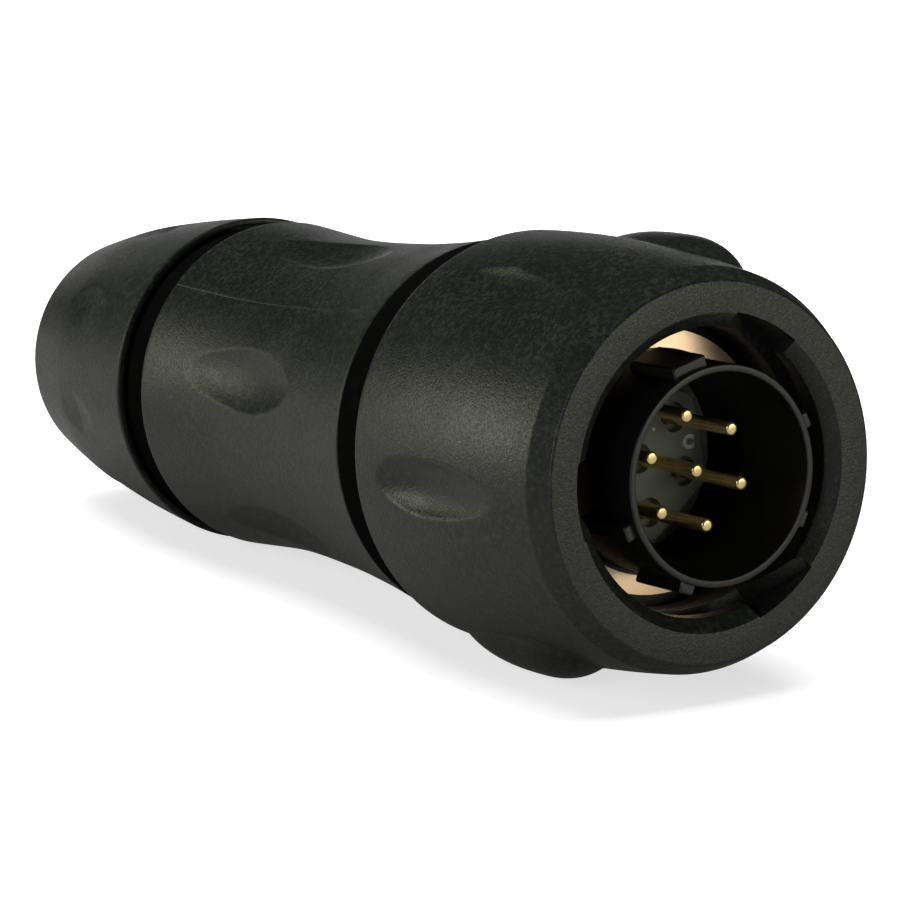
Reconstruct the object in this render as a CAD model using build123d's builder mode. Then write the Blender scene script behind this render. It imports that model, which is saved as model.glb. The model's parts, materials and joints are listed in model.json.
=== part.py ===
from build123d import *
import os
from math import asin, atan2, cos, degrees, hypot, radians, sin, sqrt, tan

os.makedirs("parts", exist_ok=True)

# All lengths are in millimetres. Depths are measured backwards from the front face of the coupling
# ring, along the plug's axis; angles are measured round that axis from straight up towards -Y.

# Contacts
contact_diameter = 1.6
contact_pitch = 6.5
contact_tip_depth = 2.8
contact_tip_length = 0.5
contact_tip_radius = 0.36
contact_body_diameter = 2.0
contact_body_taper = 0.3
contact_body_proud = 0.1
contact_shoulder_diameter = 2.5
contact_shoulder_length = 4.0
crimp_barrel_diameter = 2.7
crimp_barrel_length = 9.0
wire_bore_diameter = 1.6
wire_bore_length = 6.5
contact_clearance = 0.06
contact_turn = 10.6
outer_contacts = 6

# Shroud and shell
shroud_radius = 12.6
shroud_wall = 0.85
shroud_proud = 2.0
shroud_rim_chamfer = 0.2
shell_flange_depth = 12.2
shell_flange_length = 2.3
shell_barrel_wall = 2.85
shell_barrel_radius = shroud_radius - shroud_wall + shell_barrel_wall
shell_barrel_end = 31.0
key_height = 1.15
key_width = 2.0
wide_key_width = 4.6
wide_key_angle = 15.6
narrow_key_angles = (-118.4, -68.4, 112.6, 159.6)
key_front_depth = -1.2
key_rear_depth = 7.4

# Insert
insert_face_depth = 14.3
island_height = 2.6
island_across_flats = 17.6
island_corner_fillet = 1.6
island_step_width = 0.6
island_step_height = 0.9
insert_base_length = 7.6
insert_clearance = 0.1
well_radius = 1.75
well_depth = 1.3
retainer_length = 2.4
retainer_wall = 2.2
wire_grommet_length = 5.0
wire_grommet_edge = 0.6

# Coupling ring
opening_radius = 16.5
opening_cone_width = 1.6
opening_cone_depth = 1.3
track_depth = 1.8
track_floor_radius = opening_radius + track_depth
ring_wall = 6.4
ring_crest_radius = track_floor_radius + ring_wall
ring_length = 37.0
ring_crest_inset = 11.0
ring_crest_depth = ring_length - ring_crest_inset
ring_dome_radius = 175.0
ring_face_inset = 2.9
ring_chamfer_depth = 2.8
ring_rear_round = 1.4
collar_length = 10.6
ring_rear_wall = 4.1
flange_clearance = 0.08
grip_turn = -26.4
grip_count = 6
lug_front_depth = 10.5
lug_rear_land = 2.5
lug_rear_depth = ring_length - lug_rear_land
lug_centre_depth = (lug_front_depth + lug_rear_depth) / 2
lug_height = 1.8
lug_radius = 6.0
leaf_front_depth = 9.0
leaf_rear_land = 5.2
leaf_rear_depth = ring_length - leaf_rear_land
leaf_deep_share = 0.592
leaf_deep_depth = leaf_front_depth + leaf_deep_share * (leaf_rear_depth - leaf_front_depth)
leaf_radius = 5.5
leaf_sink = 1.35
leaf_heel_direction = (1, -0.9)

# Bayonet entries and ramps
stud_count = 3
stud_slot_width = 8.8
stud_track_width = 3.4
track_entry_depth = 4.3
track_end_depth = 6.7
track_entry_angle = -8.0
track_end_angle = -74.0
lead_in_start_depth = 0.8
lead_in_end_depth = 6.0
seat_radius = 1.95
seat_dip = 0.4

# Parts that hold the ring on the shell
washer_thickness = 0.8
clip_thickness = 1.0
clip_groove_depth = 1.1
clip_gap_width = 7.0
clip_land = 1.6
axial_clearance = 0.1
spring_thickness = 0.35
spring_wave_height = 0.9
spring_waves = 3
spring_width = 2.2
spring_radial_clearance = 0.5
spring_gap_angle = 8.0
spring_gap_turn = -90.0

# Body
ring_seal_gap = 0.3
ring_seal_length = 5.9
body_front_depth = ring_length + ring_seal_gap + ring_seal_length
body_length = 50.7
body_rear_depth = body_front_depth + body_length
body_front_radius = 22.8
body_shoulder_drop = 1.25
body_shoulder_radius = body_front_radius - body_shoulder_drop
body_shoulder_share = 0.174
body_slope_drop = 2.35
body_slope_radius = body_front_radius - body_slope_drop
body_slope_share = 0.39
body_waist_radius = 19.8
body_waist_share = 0.686
body_rear_radius = 20.65
body_front_round = 0.6
body_rear_round = 0.5
body_wall = 3.2
body_front_wall = 3.8
body_rear_wall = 5.9
front_collar_radius = 18.0
front_collar_clearance = 1.9
neck_radius = 17.4
neck_end_gap = 6.5
bush_seat_radius = 12.0
bush_seat_step = 3.1
cable_way_radius = 8.0
thumb_count = 6
thumb_turn = 15.5
thumb_centre_share = 0.558
thumb_half_length = 12.0
thumb_radius = 7.0
thumb_sink = 0.95
thumb_edge_lift = 0.35

# Seals
ring_seal_radius = 22.9
ring_seal_round = 0.5
neck_seal_radius = 19.5
neck_seal_length = 5.4
shell_seal_section = 1.3
seat_clearance = 0.05

# Gland
nut_gap = 5.7
nut_front_depth = body_rear_depth + nut_gap
nut_length = 39.2
nut_end_depth = nut_front_depth + nut_length
nut_rim_radius = 20.7
nut_middle_radius = 18.1
nut_middle_share = 0.6
nut_end_cone_length = 6.3
nut_shoulder_depth = nut_end_depth - nut_end_cone_length
nut_shoulder_radius = 15.0
nut_shoulder_round = 4.0
nut_end_radius = 10.0
nut_end_round = 1.2
nut_skirt_clearance = 0.3
nut_thread_clearance = 0.1
nut_washer_seat_radius = 14.0
nut_floor_length = 19.3
cable_hole_radius = 7.2
cable_cone_radius = 12.4
cable_hole_land = 4.8
nut_grip_count = 8
nut_grip_turn = 13.6
nut_grip_place = 0.4
nut_grip_half_length = 9.0
nut_grip_radius = 9.0
nut_grip_sink = 0.7
nut_grip_edge_lift = 0.2
nut_travel = 3.0
bush_bore_radius = 5.5
bush_clearance = 0.1
slip_washer_thickness = 1.2
slip_washer_bore = 8.2

# How far a cutting tool runs past the face that it cuts.
tool_overrun = 1.0

# How the plug lies: on the crest of its ring and on the rim of its gland nut.
dome_centre_radius = ring_crest_radius - ring_dome_radius
rim_to_dome = (nut_front_depth - ring_crest_depth, dome_centre_radius - nut_rim_radius)
rest_tilt = atan2(rim_to_dome[1], rim_to_dome[0]) + asin(ring_dome_radius / hypot(*rim_to_dome))
axis_height = nut_rim_radius * cos(rest_tilt) + nut_front_depth * sin(rest_tilt)
front_reach = shroud_proud * cos(rest_tilt) + shroud_radius * sin(rest_tilt)
nut_end_slope = atan2(nut_end_depth - nut_shoulder_depth, nut_shoulder_radius - nut_end_radius)
nut_corner_radius = nut_end_radius - nut_end_round * tan(nut_end_slope / 2)
nut_corner_depth = nut_end_depth - nut_end_round
rear_reach = nut_corner_depth * cos(rest_tilt) + nut_corner_radius * sin(rest_tilt) + nut_end_round
front_x = (rear_reach - front_reach) / 2

forward = Vector(cos(rest_tilt), 0, sin(rest_tilt))
upward = Vector(-sin(rest_tilt), 0, cos(rest_tilt))
face_centre = Vector(front_x, 0, axis_height)
plug_axis = Axis(face_centre, forward)
plug_plane = Plane(origin=face_centre, x_dir=upward, z_dir=forward)
half_section = Plane(origin=face_centre, x_dir=upward, z_dir=upward.cross(forward))


def at_depth(depth):
    """Cross-section plane at a depth behind the ring's front face."""
    return plug_plane.offset(-depth)


def tube_section(inner_radius, outer_radius, front_depth, rear_depth):
    """Half section of a plain tube, for a sketch on the half-section plane."""
    with Locations(((inner_radius + outer_radius) / 2, -(front_depth + rear_depth) / 2)):
        Rectangle(outer_radius - inner_radius, rear_depth - front_depth)


def dome_radius_at(depth):
    """Radius of the ring's outer surface at a depth."""
    off_crest = depth - ring_crest_depth
    return dome_centre_radius + sqrt(ring_dome_radius**2 - off_crest**2)


def body_depth_at(share):
    """Depth at a share of the body's length from its front."""
    return body_front_depth + share * body_length


def body_radius_at(depth):
    """Radius of the body's waisted outer surface at a depth between its slope and its waist."""
    share = (depth - body_slope_depth) / (body_waist_depth - body_slope_depth)
    return body_slope_radius + share * (body_waist_radius - body_slope_radius)


body_shoulder_depth = body_depth_at(body_shoulder_share)
body_slope_depth = body_depth_at(body_slope_share)
body_waist_depth = body_depth_at(body_waist_share)
thumb_centre_depth = body_depth_at(thumb_centre_share)

# Spindle-shaped tools, built in the plug's own directions: X is up and Z is forward.
lug_crest_radius = ring_crest_radius + lug_height
lug_axis_radius = lug_crest_radius - lug_radius

with BuildPart() as lug_spindle:
    with BuildSketch(Plane.XZ):
        with BuildLine():
            lug_front = (dome_radius_at(lug_front_depth), -lug_front_depth)
            lug_rear = (dome_radius_at(lug_rear_depth), -lug_rear_depth)
            ThreePointArc(lug_front, (lug_crest_radius, -lug_centre_depth), lug_rear)
            Polyline(lug_rear, (lug_axis_radius, lug_rear[1]), (lug_axis_radius, lug_front[1]), lug_front)
        make_face()
    revolve(axis=Axis((lug_axis_radius, 0, 0), (0, 0, 1)))

leaf_axis_radius = dome_radius_at(leaf_deep_depth) + leaf_radius - leaf_sink
leaf_front_radius = leaf_axis_radius - dome_radius_at(leaf_front_depth)
leaf_rear_radius = leaf_axis_radius - dome_radius_at(leaf_rear_depth)
leaf_front_slope = (ring_crest_depth - leaf_front_depth) / ring_dome_radius

with BuildPart() as leaf_spindle:
    with BuildSketch(Plane.XZ):
        with BuildLine():
            leaf_tip = (leaf_axis_radius - leaf_front_radius, -leaf_front_depth)
            leaf_deep = (leaf_axis_radius - leaf_radius, -leaf_deep_depth)
            leaf_heel = (leaf_axis_radius - leaf_rear_radius, -leaf_rear_depth)
            Spline(leaf_tip, leaf_deep, leaf_heel, tangents=((leaf_front_slope, -1), leaf_heel_direction))
            Polyline(leaf_heel, (leaf_axis_radius, leaf_heel[1]), (leaf_axis_radius, leaf_tip[1]), leaf_tip)
        make_face()
    revolve(axis=Axis((leaf_axis_radius, 0, 0), (0, 0, 1)))


def scoop_tool(front_end, deepest, rear_end, tool_radius):
    """Spindle that cuts an oval scoop, from three points on its lowest line."""
    tool_axis = deepest[0] + tool_radius
    with BuildPart() as tool:
        with BuildSketch(Plane.XZ):
            with BuildLine() as outline:
                ThreePointArc(front_end, deepest, rear_end)
                Polyline(rear_end, (tool_axis, rear_end[1]), (tool_axis, front_end[1]), front_end)
            make_face(outline.edges())
        revolve(axis=Axis((tool_axis, 0, 0), (0, 0, 1)))
    return tool.part


thumb_front_depth = thumb_centre_depth - thumb_half_length
thumb_rear_depth = thumb_centre_depth + thumb_half_length
thumb_scoop = scoop_tool(
    (body_radius_at(thumb_front_depth) + thumb_edge_lift, -thumb_front_depth),
    (body_radius_at(thumb_centre_depth) - thumb_sink, -thumb_centre_depth),
    (body_waist_radius + thumb_edge_lift, -thumb_rear_depth),
    thumb_radius,
)
nut_scoop = scoop_tool(
    (nut_grip_edge_lift, nut_grip_half_length),
    (-nut_grip_sink, 0),
    (nut_grip_edge_lift, -nut_grip_half_length),
    nut_grip_radius,
)

# One bayonet entry with its lead-in and its helical ramp, as a cutter.
track_rise = track_end_depth - track_entry_depth
track_sweep_angle = track_entry_angle - track_end_angle
track_middle_radius = (opening_radius + track_floor_radius) / 2

with BuildPart() as ramp_groove:
    with BuildLine() as ramp_path:
        Helix(track_rise * 360 / track_sweep_angle, track_rise, track_middle_radius)
    with BuildSketch(Plane(origin=ramp_path.line @ 0, x_dir=(1, 0, 0), z_dir=ramp_path.line % 0)):
        Rectangle(2 * (track_floor_radius - track_middle_radius) + tool_overrun, stud_track_width)
    sweep(path=ramp_path.line, is_frenet=True)

with BuildPart() as bayonet_cutter:
    with BuildSketch(Plane.YZ):
        Polygon(
            (-stud_slot_width / 2, tool_overrun),
            (stud_slot_width / 2, tool_overrun),
            (stud_slot_width / 2, -lead_in_start_depth),
            (-stud_slot_width / 4, -lead_in_end_depth),
            (-stud_slot_width / 2, -lead_in_end_depth),
            align=None,
        )
    extrude(amount=track_floor_radius + tool_overrun)
    with Locations((0, 0, -track_end_depth)):
        add(ramp_groove.part, rotation=(0, 0, track_end_angle))
    seat_plane = Plane(
        origin=(0, 0, -track_end_depth + stud_track_width / 2 - seat_radius + seat_dip),
        x_dir=(-sin(radians(track_end_angle)), cos(radians(track_end_angle)), 0),
        z_dir=(cos(radians(track_end_angle)), sin(radians(track_end_angle)), 0),
    )
    with BuildSketch(seat_plane):
        Circle(seat_radius)
    extrude(amount=track_floor_radius + tool_overrun)
    with BuildSketch(Plane.XY.offset(-ring_length)):
        Circle(track_floor_radius)
    extrude(amount=2 * ring_length, mode=Mode.INTERSECT)

# Coupling ring: domed outside, two opposite lugs, four leaf dimples, three entries and three ramps.
shell_flange_radius = track_floor_radius - flange_clearance
shell_flange_end = shell_flange_depth + shell_flange_length
washer_front = shell_flange_end + axial_clearance
clip_front = washer_front + washer_thickness
clip_groove_end = clip_front + clip_thickness + axial_clearance
rear_bore_depth = clip_groove_end + clip_land
ring_cut_end = ring_length + tool_overrun
ring_face_radius = ring_crest_radius - ring_face_inset
ring_rear_bore_radius = ring_crest_radius - ring_rear_wall
dome_front_radius = dome_radius_at(ring_chamfer_depth)
dome_rear_radius = dome_radius_at(ring_length)

with BuildPart(plug_plane) as coupling_ring:
    with BuildSketch(half_section):
        with BuildLine():
            Polyline(
                (0, -ring_length),
                (0, 0),
                (ring_face_radius, 0),
                (dome_front_radius, -ring_chamfer_depth),
            )
            ThreePointArc(
                (dome_front_radius, -ring_chamfer_depth),
                (ring_crest_radius, -ring_crest_depth),
                (dome_rear_radius, -ring_length),
            )
            Line((dome_rear_radius, -ring_length), (0, -ring_length))
        make_face()
    revolve(axis=plug_axis)
    ring_rear_edge = coupling_ring.edges().filter_by(GeomType.CIRCLE).sort_by(plug_axis)[0]
    fillet(ring_rear_edge, ring_rear_round)
    for grip in range(grip_count):
        is_lug = grip % (grip_count // 2) == 0
        with PolarLocations(0, 1, start_angle=grip_turn + grip * 360 / grip_count):
            if is_lug:
                add(lug_spindle.part)
            else:
                add(leaf_spindle.part, mode=Mode.SUBTRACT)
    with BuildSketch(half_section):
        tube_section(0, opening_radius, -tool_overrun, ring_cut_end)
        tube_section(0, track_floor_radius, collar_length, ring_cut_end)
        tube_section(0, track_floor_radius + clip_groove_depth, clip_front, clip_groove_end)
        tube_section(0, ring_rear_bore_radius, rear_bore_depth, ring_cut_end)
        with BuildLine():
            Polyline(
                (0, 0),
                (opening_radius + opening_cone_width, 0),
                (opening_radius, -opening_cone_depth),
                (0, -opening_cone_depth),
                close=True,
            )
        make_face()
    revolve(axis=plug_axis, mode=Mode.SUBTRACT)
    with PolarLocations(0, stud_count, start_angle=grip_turn):
        add(bayonet_cutter.part, mode=Mode.SUBTRACT)

coupling_ring.part.label = "coupling_ring"
export_step(coupling_ring.part, "parts/coupling_ring.step")

# Plug shell: thin shroud with its keys, the flange that carries the ring, and the rear barrel.
shroud_bore = shroud_radius - shroud_wall
key_radius = shroud_radius + key_height

with BuildPart(plug_plane) as plug_shell:
    with BuildSketch(half_section):
        tube_section(shroud_bore, shroud_radius, -shroud_proud, shell_flange_end)
        tube_section(shroud_bore, shell_flange_radius, shell_flange_depth, shell_flange_end)
        tube_section(shroud_bore, shell_barrel_radius, shell_flange_depth, shell_barrel_end)
    revolve(axis=plug_axis)
    rim_edges = plug_shell.edges().filter_by(GeomType.CIRCLE).sort_by(plug_axis)[-2:]
    chamfer(rim_edges, shroud_rim_chamfer)
    with BuildSketch(at_depth(key_rear_depth)):
        with PolarLocations(0, 1, start_angle=wide_key_angle):
            with Locations(((shroud_radius + key_radius - shroud_wall) / 2, 0)):
                Rectangle(key_height + shroud_wall, wide_key_width)
        for key_angle in narrow_key_angles:
            with PolarLocations(0, 1, start_angle=key_angle):
                with Locations(((shroud_radius + key_radius - shroud_wall) / 2, 0)):
                    Rectangle(key_height + shroud_wall, key_width)
    extrude(amount=key_rear_depth - key_front_depth)
    with BuildSketch(half_section):
        tube_section(0, shroud_bore, -shroud_proud - tool_overrun, shell_barrel_end + tool_overrun)
    revolve(axis=plug_axis, mode=Mode.SUBTRACT)

plug_shell.part.label = "plug_shell"
export_step(plug_shell.part, "parts/plug_shell.step")

# Wave spring: a thin flat ring bent into waves, between the keys and the flange.
spring_inner_radius = shroud_radius + spring_radial_clearance
spring_outer_radius = spring_inner_radius + spring_width
spring_middle_radius = (spring_inner_radius + spring_outer_radius) / 2
spring_low = shell_flange_depth - axial_clearance - spring_thickness / 2
spring_points_per_wave = 8
spring_steps = spring_waves * spring_points_per_wave


def spring_plane(step):
    """Cross-section plane of the wavy strip, in the plug's own directions."""
    turn = radians(spring_gap_angle / 2 + (360 - spring_gap_angle) * step / spring_steps)
    lift = spring_wave_height * (1 - cos(spring_waves * turn)) / 2
    climb = spring_wave_height * spring_waves * sin(spring_waves * turn) / 2 / spring_middle_radius
    outward = Vector(cos(turn), sin(turn), 0)
    along = Vector(-sin(turn), cos(turn), climb)
    return Plane(origin=outward * spring_middle_radius + Vector(0, 0, lift), x_dir=outward, z_dir=along)


with BuildPart() as spring_strip:
    for step in range(spring_steps + 1):
        with BuildSketch(spring_plane(step)):
            Rectangle(spring_width, spring_thickness)
    loft()

with BuildPart(at_depth(spring_low)) as wave_spring:
    add(spring_strip.part, rotation=(0, 0, spring_gap_turn))

wave_spring.part.label = "wave_spring"
export_step(wave_spring.part, "parts/wave_spring.step")

# Thrust washer and the open snap ring behind it.
clip_width = 2 * clip_groove_depth

with BuildPart(plug_plane) as thrust_washer:
    with BuildSketch(half_section):
        tube_section(shell_barrel_radius + flange_clearance, shell_flange_radius, washer_front, clip_front)
    revolve(axis=plug_axis)

thrust_washer.part.label = "thrust_washer"
export_step(thrust_washer.part, "parts/thrust_washer.step")

with BuildPart(plug_plane) as retaining_clip:
    with BuildSketch(at_depth(clip_front + clip_thickness)):
        Circle(track_floor_radius + clip_groove_depth - seat_clearance)
        Circle(track_floor_radius + clip_groove_depth - clip_width, mode=Mode.SUBTRACT)
        with Locations((track_floor_radius, 0)):
            Rectangle(2 * clip_width, clip_gap_width, mode=Mode.SUBTRACT)
    extrude(amount=clip_thickness)

retaining_clip.part.label = "retaining_clip"
export_step(retaining_clip.part, "parts/retaining_clip.step")

# Contact insert: a raised six-sided island with a well round every pin, on a round base.
insert_radius = shroud_bore - insert_clearance
insert_base_depth = insert_face_depth + island_height
insert_rear_depth = insert_base_depth + insert_base_length
cavity_radius = contact_shoulder_diameter / 2 + contact_clearance
pin_way_radius = contact_body_diameter / 2 + contact_clearance
shoulder_front_depth = insert_rear_depth - contact_shoulder_length
contact_places = [(0, 0)] + [
    (
        contact_pitch * cos(radians(contact_turn + 360 * place / outer_contacts)),
        contact_pitch * sin(radians(contact_turn + 360 * place / outer_contacts)),
    )
    for place in range(outer_contacts)
]

with BuildPart(plug_plane) as contact_insert:
    with BuildSketch(at_depth(insert_rear_depth)):
        Circle(insert_radius)
    extrude(amount=insert_base_length)
    with BuildSketch(at_depth(insert_base_depth)) as island_foot:
        island_flat = island_across_flats / 2 + island_step_width
        RegularPolygon(island_flat, outer_contacts, major_radius=False, rotation=contact_turn)
        fillet(island_foot.vertices(), island_corner_fillet)
    extrude(amount=island_height - island_step_height)
    with BuildSketch(at_depth(insert_base_depth)) as island_top:
        RegularPolygon(island_across_flats / 2, outer_contacts, major_radius=False, rotation=contact_turn)
        fillet(island_top.vertices(), island_corner_fillet)
    extrude(amount=island_height)
    with BuildSketch(at_depth(insert_face_depth)):
        with Locations(*contact_places):
            Circle(well_radius)
    extrude(amount=-well_depth, mode=Mode.SUBTRACT)
    with BuildSketch(at_depth(insert_face_depth)):
        with Locations(*contact_places):
            Circle(pin_way_radius)
    extrude(amount=insert_face_depth - insert_rear_depth, mode=Mode.SUBTRACT)
    with BuildSketch(at_depth(insert_rear_depth)):
        with Locations(*contact_places):
            Circle(cavity_radius)
    extrude(amount=contact_shoulder_length, mode=Mode.SUBTRACT)

contact_insert.part.label = "contact_insert"
export_step(contact_insert.part, "parts/contact_insert.step")

# Retainer ring and wire grommet behind the insert.
grommet_rear_depth = insert_rear_depth + wire_grommet_length
grommet_radius = insert_radius - retainer_wall
neck_way_radius = crimp_barrel_diameter / 2 + contact_clearance
retainer_end_depth = insert_rear_depth + retainer_length

with BuildPart(plug_plane) as insert_retainer:
    with BuildSketch(half_section):
        tube_section(grommet_radius + seat_clearance, insert_radius, insert_rear_depth, retainer_end_depth)
    revolve(axis=plug_axis)

insert_retainer.part.label = "insert_retainer"
export_step(insert_retainer.part, "parts/insert_retainer.step")

with BuildPart(plug_plane) as wire_grommet:
    with BuildSketch(at_depth(grommet_rear_depth)):
        Circle(grommet_radius)
        with Locations(*contact_places):
            Circle(neck_way_radius, mode=Mode.SUBTRACT)
    extrude(amount=wire_grommet_length)
    grommet_rim = wire_grommet.edges().filter_by(GeomType.CIRCLE).sort_by(SortBy.RADIUS)[-1]
    chamfer(grommet_rim, wire_grommet_edge)

wire_grommet.part.label = "wire_grommet"
export_step(wire_grommet.part, "parts/wire_grommet.step")

# Contact pins: tapered tip, shaft, thicker body, shoulder and crimp barrel with its wire bore.
crimp_end_depth = insert_rear_depth + crimp_barrel_length
contact_body_depth = insert_face_depth + well_depth - contact_body_proud
pin_radius = contact_diameter / 2

for contact_number, contact_place in enumerate(contact_places, start=1):
    pin_centre = plug_plane.from_local_coords((contact_place[0], contact_place[1], 0))
    pin_axis = Axis(pin_centre, forward)
    pin_section = Plane(origin=pin_centre, x_dir=upward, z_dir=half_section.z_dir)
    with BuildPart() as contact_pin:
        with BuildSketch(pin_section):
            with BuildLine():
                Polyline(
                    (0, -contact_tip_depth),
                    (contact_tip_radius, -contact_tip_depth),
                    (pin_radius, -contact_tip_depth - contact_tip_length),
                    (pin_radius, -contact_body_depth + contact_body_taper),
                    (contact_body_diameter / 2, -contact_body_depth),
                    (contact_body_diameter / 2, -shoulder_front_depth),
                    (contact_shoulder_diameter / 2, -shoulder_front_depth),
                    (contact_shoulder_diameter / 2, -insert_rear_depth),
                    (crimp_barrel_diameter / 2, -insert_rear_depth),
                    (crimp_barrel_diameter / 2, -crimp_end_depth),
                    (wire_bore_diameter / 2, -crimp_end_depth),
                    (wire_bore_diameter / 2, -crimp_end_depth + wire_bore_length),
                    (0, -crimp_end_depth + wire_bore_length),
                    close=True,
                )
            make_face()
        revolve(axis=pin_axis)
    contact_pin.part.label = f"contact_pin_{contact_number}"
    export_step(contact_pin.part, f"parts/contact_pin_{contact_number}.step")

# Body: waisted handle with six thumb scoops, a front collar on the shell and a rear neck for the nut.
seal_front_depth = ring_length + ring_seal_gap
collar_bore = shell_barrel_radius + seat_clearance
body_inner_radius = body_waist_radius - body_wall
body_inner_front_depth = body_front_depth + body_front_wall
body_inner_rear_depth = body_rear_depth - body_rear_wall
front_collar_depth = rear_bore_depth + front_collar_clearance
seal_seat_depth = shell_barrel_end + shell_seal_section + 2 * seat_clearance
bush_seat_depth = body_rear_depth + bush_seat_step
nut_washer_seat_depth = nut_end_depth - nut_floor_length
neck_end_depth = nut_washer_seat_depth - neck_end_gap

with BuildPart(plug_plane) as backshell:
    with BuildSketch(half_section):
        with BuildLine():
            Polyline(
                (body_rear_radius, -body_rear_depth),
                (0, -body_rear_depth),
                (0, -body_front_depth),
                (body_front_radius, -body_front_depth),
            )
            Spline(
                (body_front_radius, -body_front_depth),
                (body_shoulder_radius, -body_shoulder_depth),
                (body_slope_radius, -body_slope_depth),
                (body_waist_radius, -body_waist_depth),
                (body_rear_radius, -body_rear_depth),
            )
        make_face()
    revolve(axis=plug_axis)
    body_ends = backshell.edges().filter_by(GeomType.CIRCLE).sort_by(plug_axis)
    fillet(body_ends[-1], body_front_round)
    fillet(body_ends[0], body_rear_round)
    with PolarLocations(0, thumb_count, start_angle=thumb_turn):
        add(thumb_scoop, mode=Mode.SUBTRACT)
    with BuildSketch(half_section):
        tube_section(0, front_collar_radius, front_collar_depth, body_inner_front_depth)
        tube_section(0, neck_radius, body_inner_rear_depth, neck_end_depth)
    revolve(axis=plug_axis)
    with BuildSketch(half_section):
        tube_section(0, collar_bore, front_collar_depth - tool_overrun, seal_seat_depth)
        tube_section(0, cable_way_radius, seal_seat_depth - tool_overrun, neck_end_depth + tool_overrun)
        tube_section(0, body_inner_radius, body_inner_front_depth, body_inner_rear_depth)
        tube_section(0, grommet_radius, seal_seat_depth - tool_overrun, body_inner_front_depth)
        tube_section(0, bush_seat_radius, bush_seat_depth, neck_end_depth + tool_overrun)
    revolve(axis=plug_axis, mode=Mode.SUBTRACT)

backshell.part.label = "backshell"
export_step(backshell.part, "parts/backshell.step")

# Seals: the black band behind the ring, the black band on the neck and the O-ring inside.
with BuildPart(plug_plane) as ring_seal:
    with BuildSketch(half_section) as ring_seal_section:
        tube_section(
            front_collar_radius + seat_clearance, ring_seal_radius, seal_front_depth, body_front_depth
        )
        outer_corners = ring_seal_section.vertices().group_by(Axis(face_centre, upward))[-1]
        fillet(outer_corners, ring_seal_round)
    revolve(axis=plug_axis)

ring_seal.part.label = "ring_seal"
export_step(ring_seal.part, "parts/ring_seal.step")

neck_seal_end_depth = body_rear_depth + neck_seal_length

with BuildPart(plug_plane) as neck_seal:
    with BuildSketch(half_section):
        tube_section(neck_radius + seat_clearance, neck_seal_radius, body_rear_depth, neck_seal_end_depth)
    revolve(axis=plug_axis)

neck_seal.part.label = "neck_seal"
export_step(neck_seal.part, "parts/neck_seal.step")

with BuildPart(plug_plane) as shell_seal:
    seal_ring_centre = collar_bore - seat_clearance - shell_seal_section / 2
    with BuildSketch(half_section):
        with Locations((seal_ring_centre, -shell_barrel_end - seat_clearance - shell_seal_section / 2)):
            Circle(shell_seal_section / 2)
    revolve(axis=plug_axis)

shell_seal.part.label = "shell_seal"
export_step(shell_seal.part, "parts/shell_seal.step")

# Gland nut: dome with shallow grip scoops, skirt over the neck seal, washer seat and cable hole.
nut_skirt_radius = neck_seal_radius + nut_skirt_clearance
nut_skirt_end = neck_seal_end_depth + nut_travel + nut_skirt_clearance
nut_cut_start = nut_front_depth - tool_overrun
nut_thread_radius = neck_radius + nut_thread_clearance
nut_thread_end = neck_end_depth + nut_travel + 2 * nut_skirt_clearance
nut_middle_depth = nut_front_depth + nut_middle_share * (nut_shoulder_depth - nut_front_depth)
cable_cone_depth = nut_end_depth - cable_hole_land

with BuildLine(Plane.XZ):
    nut_side = ThreePointArc(
        (nut_rim_radius, -nut_front_depth),
        (nut_middle_radius, -nut_middle_depth),
        (nut_shoulder_radius, -nut_shoulder_depth),
    )
nut_grip_point = nut_side @ nut_grip_place
nut_side_direction = nut_side % nut_grip_place
nut_side_lean = degrees(atan2(nut_side_direction.X, nut_side_direction.Z)) - 180

with BuildPart(plug_plane) as gland_nut:
    with BuildSketch(half_section):
        with BuildLine():
            ThreePointArc(
                (nut_rim_radius, -nut_front_depth),
                (nut_middle_radius, -nut_middle_depth),
                (nut_shoulder_radius, -nut_shoulder_depth),
            )
            Polyline(
                (nut_shoulder_radius, -nut_shoulder_depth),
                (nut_end_radius, -nut_end_depth),
                (0, -nut_end_depth),
                (0, -nut_front_depth),
                (nut_rim_radius, -nut_front_depth),
            )
        make_face()
    revolve(axis=plug_axis)
    nut_rear_edges = gland_nut.edges().filter_by(GeomType.CIRCLE).sort_by(plug_axis)
    fillet(nut_rear_edges[1], nut_shoulder_round)
    fillet(nut_rear_edges[0], nut_end_round)
    with PolarLocations(0, nut_grip_count, start_angle=nut_grip_turn):
        with Locations(Location(tuple(nut_grip_point), (0, nut_side_lean, 0))):
            add(nut_scoop, mode=Mode.SUBTRACT)
    with BuildSketch(half_section):
        tube_section(0, nut_skirt_radius, nut_cut_start, nut_skirt_end)
        tube_section(0, nut_thread_radius, nut_cut_start, nut_thread_end)
        tube_section(0, nut_washer_seat_radius, nut_cut_start, nut_washer_seat_depth)
        tube_section(0, cable_hole_radius, nut_cut_start, nut_end_depth + tool_overrun)
        with BuildLine():
            Polyline(
                (0, -nut_washer_seat_depth),
                (cable_cone_radius, -nut_washer_seat_depth),
                (cable_hole_radius, -cable_cone_depth),
                (0, -cable_cone_depth),
                close=True,
            )
        make_face()
    revolve(axis=plug_axis, mode=Mode.SUBTRACT)

gland_nut.part.label = "gland_nut"
export_step(gland_nut.part, "parts/gland_nut.step")

# Slip washer on the nut's seat, and the bush that it presses on when the nut is tightened.
washer_face_depth = nut_washer_seat_depth - slip_washer_thickness
bush_rear_depth = washer_face_depth - nut_travel - axial_clearance
washer_edge_radius = nut_washer_seat_radius - flange_clearance

with BuildPart(plug_plane) as slip_washer:
    with BuildSketch(half_section):
        tube_section(slip_washer_bore, washer_edge_radius, washer_face_depth, nut_washer_seat_depth)
    revolve(axis=plug_axis)

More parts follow.
